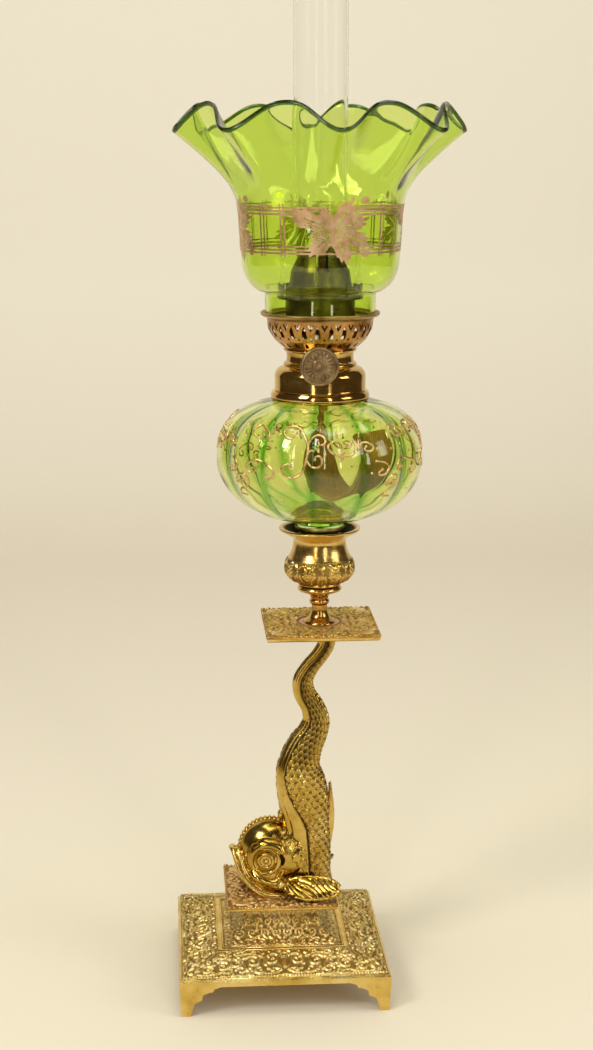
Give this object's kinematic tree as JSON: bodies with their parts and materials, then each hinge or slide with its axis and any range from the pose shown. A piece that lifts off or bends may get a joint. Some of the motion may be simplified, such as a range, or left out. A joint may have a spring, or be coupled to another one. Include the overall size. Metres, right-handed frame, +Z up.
{
  "type": "peg oil lamp",
  "caption": "Peg oil lamp: brass dolphin candlestick, lobed green glass font on a peg, flat wick burner, chimney and ruffled green glass shade.",
  "frame": {"origin": "the point on the floor under the upright axis of the socket, font and burner, which is also the middle of the whole lamp's outline within 2 mm", "axes": "+Z up, +X towards the side away from the dolphin's head, -Y the front with the winder's knob"},
  "size_m": [0.1769, 0.1738, 0.6657],
  "materials": {
    "cast_brass": "polished",
    "dark_brass": "aged",
    "sheet_brass": "satin",
    "red_brass": "aged",
    "bronze": "aged",
    "steel": "satin",
    "plaster": "matt",
    "green_glass": "clear",
    "clear_glass": "clear",
    "cotton": "woven"
  },
  "bodies": {
    "candlestick": {"base_foot": "cast_brass", "base_stud": "steel", "base_washer": "steel", "base_nut": "steel", "plinth_plate": "cast_brass", "dolphin": "cast_brass", "drip_plate": "cast_brass", "socket_rod": "steel", "socket_nut": "steel", "socket_stem": "dark_brass", "candle_cup": "cast_brass"},
    "oil_font": {"peg": "sheet_brass", "peg_plaster": "plaster", "font_glass": "green_glass", "font_collar": "sheet_brass", "collar_plaster": "plaster"},
    "burner": {"burner_cup": "sheet_brass", "burner_neck": "sheet_brass", "burner_floor": "sheet_brass", "vent_tube": "sheet_brass", "wick_tube": "sheet_brass", "spindle_bush": "red_brass", "spindle_bearing": "sheet_brass", "gallery_basket": "red_brass", "air_plate": "sheet_brass", "gallery_flange": "sheet_brass", "chimney_drum": "sheet_brass", "deflector_dome": "sheet_brass"},
    "winder": {"winder_spindle": "bronze", "winder_cogs": "bronze", "winder_knob": "bronze"},
    "wick_strip": {"wick": "cotton"},
    "chimney_glass": {"chimney": "clear_glass"},
    "shade_glass": {"shade": "green_glass"}
  },
  "joints": [
    {"name": "font_lift", "type": "slide", "parent": "candlestick", "child": "oil_font", "axis": [0, 0, 1], "range_m": [0, 0.045]},
    {"name": "burner_turn", "type": "hinge", "parent": "oil_font", "child": "burner", "pos_m": [0, 0, 0.3755], "axis": [0, 0, 1], "range_deg": [0, 540]},
    {"name": "knob_turn", "type": "hinge", "parent": "burner", "child": "winder", "pos_m": [-0.0041, -0.046, 0.3951], "axis": [0, -1, 0], "range_deg": [-110, 110]},
    {"name": "wick_raise", "type": "slide", "parent": "burner", "child": "wick_strip", "axis": [0, 0, 1], "range_m": [-0.006, 0.006]},
    {"name": "chimney_lift", "type": "slide", "parent": "burner", "child": "chimney_glass", "axis": [0, 0, 1], "range_m": [0, 0.13]},
    {"name": "shade_lift", "type": "slide", "parent": "burner", "child": "shade_glass", "axis": [0, 0, 1], "range_m": [0, 0.25]}
  ],
  "couplings": [
    {"joint": "wick_raise", "follows": "knob_turn", "m_per_rad": 0.003}
  ]
}
